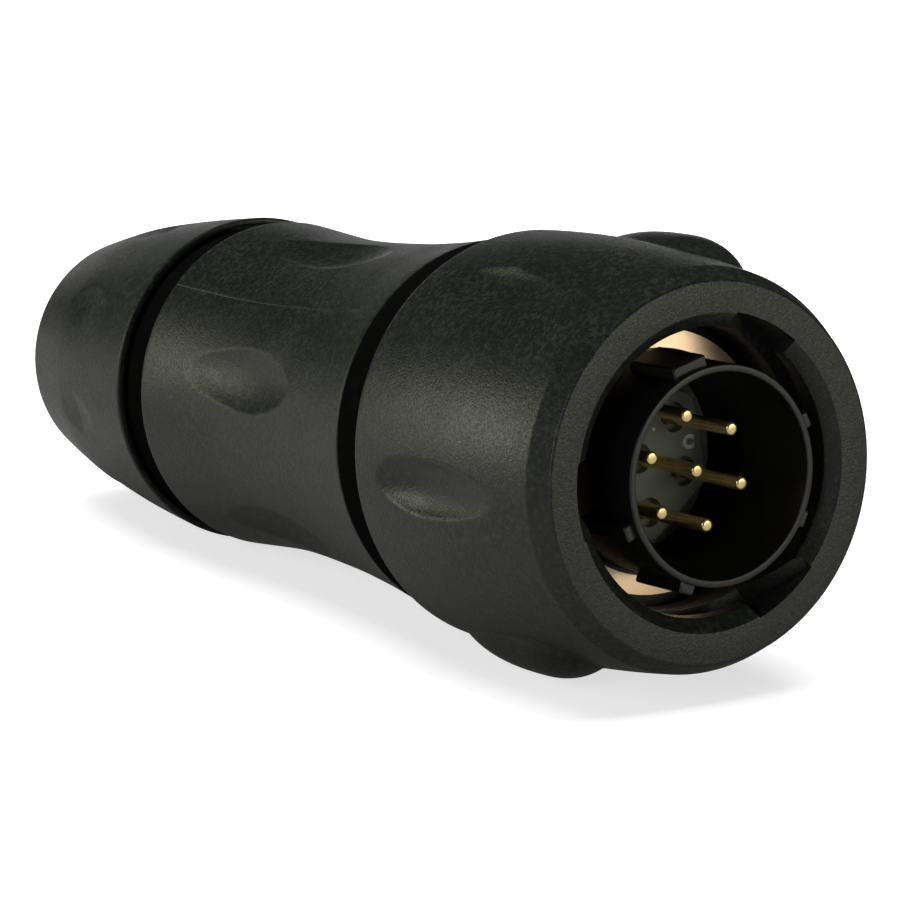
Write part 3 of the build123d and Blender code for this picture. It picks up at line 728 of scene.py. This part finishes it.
def shape_tree(name):
    """A shape tree by name, built on its first use."""
    if name in bpy.data.node_groups:
        return bpy.data.node_groups[name]
    return {"grip_relief": grip_relief, "copies_round_axis": copies_round_axis, "wavy_strip": wavy_strip}[name]()


def section_in_mm(corners):
    """Corners written in millimetres as a rounded closed half section in metres."""
    return [millimetres(*point) for point in rounded(corners)]


def with_grips(made, first_turn, lengths, drops, power, lug=0.0, **measures):
    """Lugs or scoops round a turned skin; lengths, drops and the last measures are in millimetres."""
    lengthwise = {"Front Length": lengths[0], "Rear Length": lengths[1], "Front Drop": drops[0], "Rear Drop": drops[1]}
    values = {"Skip Every": NONE_SKIPPED, "First Turn": first_turn, "End Power": power, "Lug": lug}
    for name in ("count", "skip_every"):
        if name in measures:
            values[name.replace("_", " ").title()] = measures.pop(name)
    for name, value in measures.items():
        lengthwise[name.replace("_", " ").title()] = value
    values.update({name: value * MM for name, value in lengthwise.items()})
    return with_nodes(made, shape_tree("grip_relief"), values)


def three_round_axis(cutter, first_turn):
    """The cutter three times round the axis, one for each bayonet entry."""
    values = {"Count": 3, "Distance": 0.0, "First Turn": first_turn, "Middle Copy": False}
    return with_nodes(cutter, shape_tree("copies_round_axis"), values)


class PLUG_OT_coupling_ring(bpy.types.Operator):
    """Make the domed coupling ring with its lugs, leaf dimples, bayonet entries and ramps"""

    bl_idname = "plug.coupling_ring"
    bl_label = "Coupling Ring"

    def execute(self, context):
        sizes = context.scene.plug_ring
        crest, crest_depth, curve = in_mm(sizes.crest_radius, sizes.crest_depth, sizes.dome_radius)
        opening, track, face = in_mm(sizes.opening_radius, sizes.track_radius, sizes.face_radius)
        end = sizes.ring_length / MM

        def dome(depth):
            return crest - curve + math.sqrt(curve**2 - (depth - crest_depth) ** 2)

        chamfer_depth, rear_round = 2.8, 1.4
        track_front, track_rear, skirt_bore = 10.6, 18.1, 20.6
        groove_front, groove_rear, groove_radius = 15.4, 16.5, track + 1.1
        steps = 24
        dome_depths = [chamfer_depth + (end - chamfer_depth) * step / steps for step in range(1, steps)]
        corners = [(opening, 1.3, 0.3), (opening + 1.6, 0.0, 0.3), (face, 0.0, 0.5)]
        corners.append((dome(chamfer_depth), chamfer_depth, 1.2))
        corners += [(dome(depth), depth, 0.0) for depth in dome_depths]
        corners += [(dome(end), end, rear_round), (skirt_bore, end, 0.3), (skirt_bore, track_rear, 0.0)]
        corners += [(track, track_rear, 0.2), (track, groove_rear, 0.0), (groove_radius, groove_rear, 0.0)]
        corners += [(groove_radius, groove_front, 0.0), (track, groove_front, 0.0)]
        corners += [(track, track_front, 0.0), (opening, track_front, 0.2)]
        section = divided(section_in_mm(corners), 0.3 * MM, 0.5 * MM, (end - 0.2) * MM)
        ring = turned("coupling_ring_moulding", section, 540)
        leaf_middle, leaf_tool, leaf_sink, leaf_front, leaf_rear = 22.5, 5.5, 1.5, 9.0, 31.8
        leaf_centre = dome(leaf_middle) + leaf_tool - leaf_sink
        ring = with_grips(
            ring, sizes.grip_turn, count=6, skip_every=3, tool_centre=leaf_centre, tool_radius=leaf_tool,
            middle_depth=leaf_middle, lengths=(leaf_middle - leaf_front, leaf_rear - leaf_middle),
            drops=[leaf_tool - leaf_centre + dome(depth) for depth in (leaf_front, leaf_rear)],
            power=2.0, crease=0.22, inner_limit=21.2,
        )
        lug_middle, lug_tool, lug_crest, lug_front, lug_rear = 18.4, 6.2, 26.8, 9.8, 33.2
        ring = with_grips(
            ring, sizes.grip_turn, count=2, tool_centre=lug_crest - lug_tool, tool_radius=lug_tool,
            middle_depth=lug_middle, lengths=(8.8, lug_rear - lug_middle),
            drops=[lug_crest - dome(depth) for depth in (lug_front, lug_rear)],
            power=2.6, crease=0.3, inner_limit=21.8, lug=1.0,
        )
        ring = combined(ring, entry_cutters(track, sizes.grip_turn), "DIFFERENCE")
        ring = combined(ring, ramp_cutters(track, sizes.grip_turn), "DIFFERENCE")
        settled(ring, "housing_plastic", "ring", ["coupling_ring"])
        return {"FINISHED"}


def entry_cutters(track, first_turn):
    """The three bayonet entries, each with its sloped lead-in."""
    half, deep, shallow, inner = 4.4, 6.0, 0.8, 14.0
    columns = 12
    loops = []
    for step in range(columns + 1):
        offset = -half + 2 * half * step / columns
        outside = math.sqrt(track**2 - offset**2)
        floor = deep
        if offset > -half / 2:
            floor = deep + (shallow - deep) * (offset + half / 2) / (half * 1.5)
        corners = ((inner, 1.0), (outside, 1.0), (outside, -floor), (inner, -floor))
        loops.append([millimetres(radius, offset, height) for radius, height in corners])
    return three_round_axis(stacked("entry_cutter", loops), first_turn)


def ramp_cutters(track, first_turn):
    """The three helical ramps that draw the mating half in."""
    start, sweep, first_depth, lead = -8.0, -66.0, 4.3, 2.4
    inner, outer, half = 15.0, track - 0.01, 1.7
    steps = 40
    loops = []
    for step in range(steps + 1):
        share = step / steps
        bearing = math.radians(start + sweep * share)
        depth = first_depth + lead * share
        corners = ((inner, -half), (outer, -half), (outer, half), (inner, half))
        loops.append([round_point(radius, bearing, depth + side) for radius, side in corners])
    return three_round_axis(stacked("ramp_cutter", loops), first_turn)


class PLUG_OT_body(bpy.types.Operator):
    """Make the waisted body with its six thumb scoops"""

    bl_idname = "plug.body"
    bl_label = "Body"

    def execute(self, context):
        sizes = context.scene.plug_body
        front, rear = in_mm(sizes.front_depth, sizes.rear_depth)
        radii = in_mm(
            sizes.front_radius, sizes.shoulder_radius, sizes.slope_radius, sizes.waist_radius, sizes.rear_radius
        )
        side = smooth_line(list(zip(radii, (front, 52.0, 63.0, 78.0, rear))), 12)
        neck, neck_front, shell_seat, shell_stop, wire_bore = 18.0, 20.0, 14.65, 32.4, 9.45
        room, room_front, room_rear, cable_bore = 16.6, 47.0, 88.0, 8.0
        bush_seat, bush_front, thread, thread_end = 12.0, 97.0, 17.4, 113.0
        corners = [(shell_seat, neck_front, 0.2), (neck, neck_front, 0.3), (neck, front, 0.0), (*side[0], 0.6)]
        corners += [(*point, 0.0) for point in side[1:-1]]
        corners += [(*side[-1], 0.5), (thread, rear, 0.0), (thread, thread_end, 0.5), (bush_seat, thread_end, 0.3)]
        corners += [(bush_seat, bush_front, 0.0), (cable_bore, bush_front, 0.3), (cable_bore, room_rear, 0.0)]
        corners += [(room, room_rear, 0.0), (room, room_front, 0.0), (wire_bore, room_front, 0.0)]
        corners += [(wire_bore, shell_stop, 0.0), (shell_seat, shell_stop, 0.0)]
        section = divided(section_in_mm(corners), 0.42 * MM, (front + 1.0) * MM, (rear - 0.5) * MM)
        body = turned("body_moulding", section, 480)
        thumb_tool, thumb_surface, thumb_sink = 10.0, 19.95, 1.15
        body = with_grips(
            body, sizes.thumb_turn, count=6, tool_centre=thumb_surface + thumb_tool - thumb_sink,
            tool_radius=thumb_tool, middle_depth=71.5, lengths=(12.0, 12.0), drops=(1.75, 1.1),
            power=2.0, crease=0.15, inner_limit=19.2,
        )
        settled(body, "housing_plastic", "plug", ["backshell"])
        return {"FINISHED"}


class PLUG_OT_gland_nut(bpy.types.Operator):
    """Make the rounded gland nut with its eight grip scoops"""

    bl_idname = "plug.gland_nut"
    bl_label = "Gland Nut"

    def execute(self, context):
        sizes = context.scene.plug_nut
        front, end, end_radius, cable_radius = in_mm(
            sizes.front_depth, sizes.end_depth, sizes.end_radius, sizes.cable_radius
        )
        rim, middle_radius, shoulder = in_mm(sizes.rim_radius, sizes.middle_radius, sizes.shoulder_radius)
        knots = [(rim, front), (19.6, 109.0), (middle_radius, 119.3), (16.65, 126.0), (shoulder, 132.5)]
        side = smooth_line(knots, 8)
        rim_bore, rim_end, thread, thread_end = 19.8, 102.6, 17.5, 116.6
        washer_seat, seat_end, cone, cone_end = 14.0, 119.5, 12.4, 134.0
        corners = [(rim_bore, front, 0.2), (*side[0], 0.35)]
        corners += [(*point, 0.0) for point in side[1:-6]]
        corners += [(*side[-1], 4.0), (end_radius, end, 1.2), (cable_radius, end, 0.5), (cable_radius, cone_end, 0.5)]
        corners += [(cone, seat_end, 0.0), (washer_seat, seat_end, 0.0), (washer_seat, thread_end, 0.0)]
        corners += [(thread, thread_end, 0.0), (thread, rim_end, 0.2), (rim_bore, rim_end, 0.0)]
        section = divided(section_in_mm(corners), 0.4 * MM, (front + 0.5) * MM, (end - 1.0) * MM)
        nut = turned("gland_nut_moulding", section, 480)
        grip_tool, grip_surface, grip_sink = 16.0, 18.7, 0.55
        nut = with_grips(
            nut, sizes.grip_turn, count=8, tool_centre=grip_surface + grip_tool - grip_sink,
            tool_radius=grip_tool, middle_depth=115.5, lengths=(8.5, 8.5), drops=(2.1, -0.6),
            power=1.0, crease=0.15, inner_limit=16.0,
        )
        settled(nut, "housing_plastic", "nut", ["gland_nut"])
        return {"FINISHED"}


class PLUG_OT_shell(bpy.types.Operator):
    """Make the thin keyed shroud with its flange and rear barrel"""

    bl_idname = "plug.shell"
    bl_label = "Plug Shell"

    def execute(self, context):
        sizes = context.scene.plug_contacts
        outer, wall = in_mm(sizes.shroud_radius, sizes.shroud_wall)
        bore = outer - wall
        front, rear, flange, flange_front, flange_rear, barrel = -2.0, 31.0, 18.22, 12.2, 14.5, 14.6
        corners = [(bore, front, 0.2), (outer, front, 0.25), (outer, flange_front, 0.0)]
        corners += [(flange, flange_front, 0.15), (flange, flange_rear, 0.15), (barrel, flange_rear, 0.0)]
        corners += [(barrel, rear, 0.2), (bore, rear, 0.2)]
        shell = turned("shroud_moulding", section_in_mm(corners), 256)
        keys = [(15.6, 4.6), (-118.4, 2.0), (-68.4, 2.0), (112.6, 2.0), (159.6, 2.0)]
        for bearing, width in keys:
            key = rounded_bar(outer - 0.4, outer + 1.15, width, -1.2, 7.4)
            key.data.transform(Matrix.Rotation(math.radians(bearing), 4, "Z"))
            shell = combined(shell, key, "UNION")
        settled(shell, "shroud_plastic", "plug", ["plug_shell"])
        return {"FINISHED"}


def rounded_bar(low, high, width, front, rear):
    """A key bar with softened top edges, from one radius to another, in millimetres."""
    soft = 0.2
    half = width / 2
    bevel = [(high - soft, -half), (high, -half + soft), (high, half - soft), (high - soft, half)]
    outline = [(low, -half), *bevel, (low, half)]
    middle = (low + high) / 2
    loops = []
    for depth, inset in ((front, soft), (front + soft, 0.0), (rear, 0.0)):
        loop = []
        for radius, offset in outline:
            pulled = radius - inset if radius > middle else radius
            loop.append(millimetres(pulled, offset * (1 - inset / half), -depth))
        loops.append(loop)
    return stacked("key_bar", loops)


class PLUG_OT_contacts(bpy.types.Operator):
    """Make the insert with its raised island and wells, and the gold pins"""

    bl_idname = "plug.contacts"
    bl_label = "Contacts"

    def execute(self, context):
        sizes = context.scene.plug_contacts
        face, tip, pin = in_mm(sizes.insert_depth, sizes.tip_depth, sizes.pin_diameter / 2)
        outer, wall = in_mm(sizes.shroud_radius, sizes.shroud_wall)
        play, foot = 0.1, face + 2.6
        rear = foot + 7.6
        island = self.island_loops(sizes.contact_turn, sizes.outer_pins, outer - wall - play, rear, foot, face)
        insert = stacked("insert_moulding", island)
        well = disc("well_cutter", 1.75, face - 1.0, face + 1.3, 40)
        values = (sizes.outer_pins, sizes.pitch, sizes.contact_turn, True)
        places = dict(zip(("Count", "Distance", "First Turn", "Middle Copy"), values))
        insert = combined(insert, with_nodes(well, shape_tree("copies_round_axis"), places), "DIFFERENCE")
        settled(insert, "insulator_plastic", "plug", ["contact_insert"], sharp=28.0)
        neck, collar, barrel, wire_hole = 1.0, 1.25, 1.35, 0.8
        neck_end, barrel_end, hole_end = rear - 4.0, rear + 9.0, rear + 2.5
        corners = [(0.0, tip, 0.0), (pin, tip, pin * 0.75), (pin, face + 0.9, 0.0), (neck, face + 1.2, 0.0)]
        corners += [(neck, neck_end, 0.0), (collar, neck_end, 0.1), (collar, rear, 0.0), (barrel, rear, 0.1)]
        corners += [(barrel, barrel_end, 0.1), (wire_hole, barrel_end, 0.1), (wire_hole, hole_end, 0.0)]
        corners.append((0.0, hole_end, 0.0))
        one_pin = turned("contact_pins", section_in_mm(corners), 48)
        pins = with_nodes(one_pin, shape_tree("copies_round_axis"), places)
        names = ["contact_pin_%d" % number for number in range(1, sizes.outer_pins + 2)]
        settled(pins, "plated_gold", "plug", names)
        self.mark(face)
        return {"FINISHED"}

    def island_loops(self, first_turn, sides, base, rear, foot, face):
        """Loops from the insert's rear up to the face of its raised island."""
        count = 240
        bearings = [2 * math.pi * index / count for index in range(count)]

        def circle(radius, depth):
            return [round_point(radius, bearing, depth) for bearing in bearings]

        def hexagon(flat, corner_round, depth):
            half_side = math.pi / sides
            centre = (flat - corner_round) / math.cos(half_side)
            tangent = math.atan2(centre * math.sin(half_side), flat)
            loop = []
            for bearing in bearings:
                off_corner = (bearing - first_turn + half_side) % (2 * half_side) - half_side
                off_flat = half_side - abs(off_corner)
                if off_flat <= tangent:
                    radius = flat / math.cos(off_flat)
                else:
                    across = centre * math.sin(off_corner)
                    radius = centre * math.cos(off_corner) + math.sqrt(corner_round**2 - across**2)
                loop.append(round_point(radius, bearing, depth))
            return loop

        step_depth = face + 0.9
        circles = [circle(base, rear), circle(base, foot + 0.2), circle(base - 0.2, foot)]
        lower = [hexagon(9.4, 1.6, foot), hexagon(9.4, 1.6, step_depth + 0.12), hexagon(9.28, 1.5, step_depth)]
        upper = [hexagon(8.8, 1.6, step_depth), hexagon(8.8, 1.6, face + 0.15), hexagon(8.65, 1.5, face)]
        return circles + lower + upper

    def mark(self, face):
        """A printed letter beside one pin and the small round index mark."""
        curve = bpy.data.curves.new("contact_mark", "FONT")
        curve.body = "C"
        curve.size, curve.extrude, curve.offset = millimetres(2.1, 0.02, 0.13)
        curve.align_x = curve.align_y = "CENTER"
        writing = bpy.data.objects.new("contact_mark_text", curve)
        bpy.context.collection.objects.link(writing)
        letter = plain_result(writing, "contact_mark_letter")
        upright = Matrix.Rotation(math.radians(-90.0), 4, "Z")
        lift, letter_off_axis, letter_turn, dot_off_axis, dot_turn = 0.01, 7.0, -81.0, 3.8, -34.0
        place = round_point(letter_off_axis, math.radians(letter_turn), face - lift)
        letter.data.transform(Matrix.Translation(place) @ upright)
        settled(letter, "mark_ink", "plug", [])
        dot = disc("contact_mark_dot", 0.22, face - 0.03, face + 0.02, 24)
        dot.data.transform(Matrix.Translation(round_point(dot_off_axis, math.radians(dot_turn), 0.0)))
        settled(dot, "mark_ink", "plug", [])


class PLUG_OT_spring(bpy.types.Operator):
    """Make the wavy spring strip between the shroud and the coupling ring"""

    bl_idname = "plug.spring"
    bl_label = "Wave Spring"

    def execute(self, context):
        seed = new_object("wave_spring_strip", [(0, 0, 0), (MM, 0, 0), (0, MM, 0)], [(0, 1, 2)])
        strip = with_nodes(seed, shape_tree("wavy_strip"), {"Radius": 14.2 * MM, "Width": 2.2 * MM})
        settled(strip, "sprung_copper", "plug", ["wave_spring"])
        return {"FINISHED"}


class PLUG_OT_bands(bpy.types.Operator):
    """Make the two black bands with rounded edges, and give the hidden pieces their finishes"""

    bl_idname = "plug.bands"
    bl_label = "Bands and Inner Pieces"

    def execute(self, context):
        # The bands fill the gaps between ring, body and nut: partly real seals, partly a dark band standing for the
        # shade in those gaps.
        bands = (
            ("ring_band", "ring_seal", 18.05, 22.9, 37.3, 43.2, 0.5),
            ("neck_band", "neck_seal", 17.45, 19.5, 93.9, 99.3, 0.35),
        )
        for name, node, bore, outer, front, rear, edge in bands:
            corners = [(bore, front, 0.1), (outer, front, edge), (outer, rear, edge), (bore, rear, 0.1)]
            band = turned(name, section_in_mm(corners), 256)
            settled(band, "black_rubber", "plug", [node])
        inner_finishes = {
            "wire_grommet": "black_rubber",
            "shell_seal": "black_rubber",
            "gland_bush": "black_rubber",
            "insert_retainer": "shroud_plastic",
            "thrust_washer": "sprung_copper",
            "retaining_clip": "plain_steel",
            "slip_washer": "plain_steel",
        }
        for node, finish_name in inner_finishes.items():
            piece = frame["nodes"][node]
            if not piece.material_slots:
                raise RuntimeError(node + " has no material slot to fill")
            for slot in piece.material_slots:
                slot.material = finish_named(finish_name)
        return {"FINISHED"}


class PLUG_OT_stage(bpy.types.Operator):
    """Make the pale floor, the soft lamps and the camera"""

    bl_idname = "plug.stage"
    bl_label = "Stage"

    def execute(self, context):
        look = context.scene.plug_stage
        scene = context.scene
        scene.view_settings.view_transform = "Standard"
        half = look.floor_size / 2
        corners = [(-half, -half, 0), (half, -half, 0), (half, half, 0), (-half, half, 0)]
        floor = new_object("studio_floor", corners, [(0, 1, 2, 3)])
        floor.data.materials.append(self.floor_paint())
        self.sky(look.sky)
        white = (1.0, 1.0, 1.0)
        lamps = (
            ("side_lamp", (-0.76, -0.83, 0.24), (0.34, 0.4), look.side_power, look.lamp_colour),
            ("fill_lamp", (0.55, -0.95, 0.35), (0.5, 0.5), look.fill_power, white),
            ("front_lamp", (1.0, 0.5, 0.16), (0.6, 0.3), look.front_power, look.lamp_colour),
            ("rear_lamp", (-1.2, 0.6, 0.16), (0.9, 0.24), look.rear_power, white),
            ("top_lamp", (-0.2, 0.05, 0.9), (1.1, 1.1), look.top_power, white),
        )
        for name, place, size, power, tint in lamps:
            self.lamp(name, Vector(place), size, power, tint)
        bpy.data.objects["top_lamp"].visible_glossy = False
        camera = bpy.data.cameras.new("photo_camera")
        camera.lens = look.lens
        camera.sensor_width = 36.0
        camera.clip_start = 0.01
        camera.clip_end = 50.0
        made = bpy.data.objects.new("photo_camera", camera)
        context.collection.objects.link(made)
        made.location = look.camera_place
        made.rotation_euler = Euler(look.camera_turn)
        scene.camera = made
        return {"FINISHED"}

    def floor_paint(self):
        """Pale floor that glows for the camera and sends only a dim light back to the plug."""
        material = bpy.data.materials.new("studio_floor_paint")
        material.use_nodes = True
        bench = Bench(material.node_tree)
        shader = material.node_tree.nodes["Principled BSDF"]
        seen = bench.light_path()
        paint = bench.tint(seen, (0.4, 0.4, 0.4), (0.95, 0.95, 0.97))
        bench.feed(shader.inputs["Base Color"], paint)
        shader.inputs["Roughness"].default_value = 0.9
        shader.inputs["Specular IOR Level"].default_value = 0.0
        colours = ((0.66, 0.66, 0.67), (0.07, 0.07, 0.07))
        glow, dim = (bench.node("ShaderNodeEmission", None, {"Color": opaque(value)}) for value in colours)
        mixed = bench.node("ShaderNodeMixShader", None, {0: seen, 1: dim, 2: glow})
        both = bench.node("ShaderNodeAddShader", None, {0: Wire(bench, shader.outputs[0]), 1: mixed})
        bench.feed(material.node_tree.nodes["Material Output"].inputs["Surface"], both)
        return material

    def sky(self, power):
        """Even light from all round, and plain white behind everything."""
        world = bpy.data.worlds.new("studio_sky")
        bpy.context.scene.world = world
        world.use_nodes = True
        bench = Bench(world.node_tree)
        seen = bench.light_path()
        colours = {"Color": opaque((1.0, 1.0, 1.0))}
        even = bench.node("ShaderNodeBackground", None, {**colours, "Strength": power})
        white = bench.node("ShaderNodeBackground", None, {**colours, "Strength": 1.0})
        mixed = bench.node("ShaderNodeMixShader", None, {0: seen, 1: even, 2: white})
        bench.feed(world.node_tree.nodes["World Output"].inputs["Surface"], mixed)

    def lamp(self, name, place, size, power, tint):
        """A rectangular soft lamp that faces the plug."""
        light = bpy.data.lights.new(name, "AREA")
        light.shape = "RECTANGLE"
        light.size, light.size_y = size
        light.energy = power
        light.color = tint
        made = bpy.data.objects.new(name, light)
        bpy.context.collection.objects.link(made)
        made.location = place
        target = Vector((0.03, 0.0, 0.02))
        made.rotation_euler = (target - place).to_track_quat("-Z", "Y").to_euler()


class PLUG_PT_sidebar(bpy.types.Panel):
    """Lists the plug's pieces and their sizes"""

    bl_idname = "PLUG_PT_sidebar"
    bl_label = "Connector Plug"
    bl_space_type = "VIEW_3D"
    bl_region_type = "UI"
    bl_category = "Connector"

    def draw(self, context):
        for operator, group in (*PIECES, (None, "plug_finishes")):
            box = self.layout.box()
            if operator:
                box.operator(operator.bl_idname)
            if group:
                values = getattr(context.scene, group)
                for name in values.bl_rna.properties.keys():
                    if name not in ("name", "rna_type"):
                        box.prop(values, name)


PIECES = (
    (PLUG_OT_stage, "plug_stage"),
    (PLUG_OT_coupling_ring, "plug_ring"),
    (PLUG_OT_body, "plug_body"),
    (PLUG_OT_gland_nut, "plug_nut"),
    (PLUG_OT_shell, "plug_contacts"),
    (PLUG_OT_contacts, None),
    (PLUG_OT_spring, None),
    (PLUG_OT_bands, None),
)
GROUPS = {
    "plug_stage": StageLook,
    "plug_ring": CouplingRingSizes,
    "plug_body": BodySizes,
    "plug_nut": GlandNutSizes,
    "plug_contacts": ContactSizes,
    "plug_finishes": FinishColours,
}


def register():
    for name, group in GROUPS.items():
        bpy.utils.register_class(group)
        setattr(bpy.types.Scene, name, bpy.props.PointerProperty(type=group))
    for operator, _ in PIECES:
        bpy.utils.register_class(operator)
    bpy.utils.register_class(PLUG_PT_sidebar)


def unregister():
    bpy.utils.unregister_class(PLUG_PT_sidebar)
    for operator, _ in reversed(PIECES):
        bpy.utils.unregister_class(operator)
    for name, group in GROUPS.items():
        delattr(bpy.types.Scene, name)
        bpy.utils.unregister_class(group)


def main():
    register()
    for operator, _ in PIECES:
        space, action = operator.bl_idname.split(".")
        getattr(getattr(bpy.ops, space), action)()


if __name__ == "__main__":
    main()
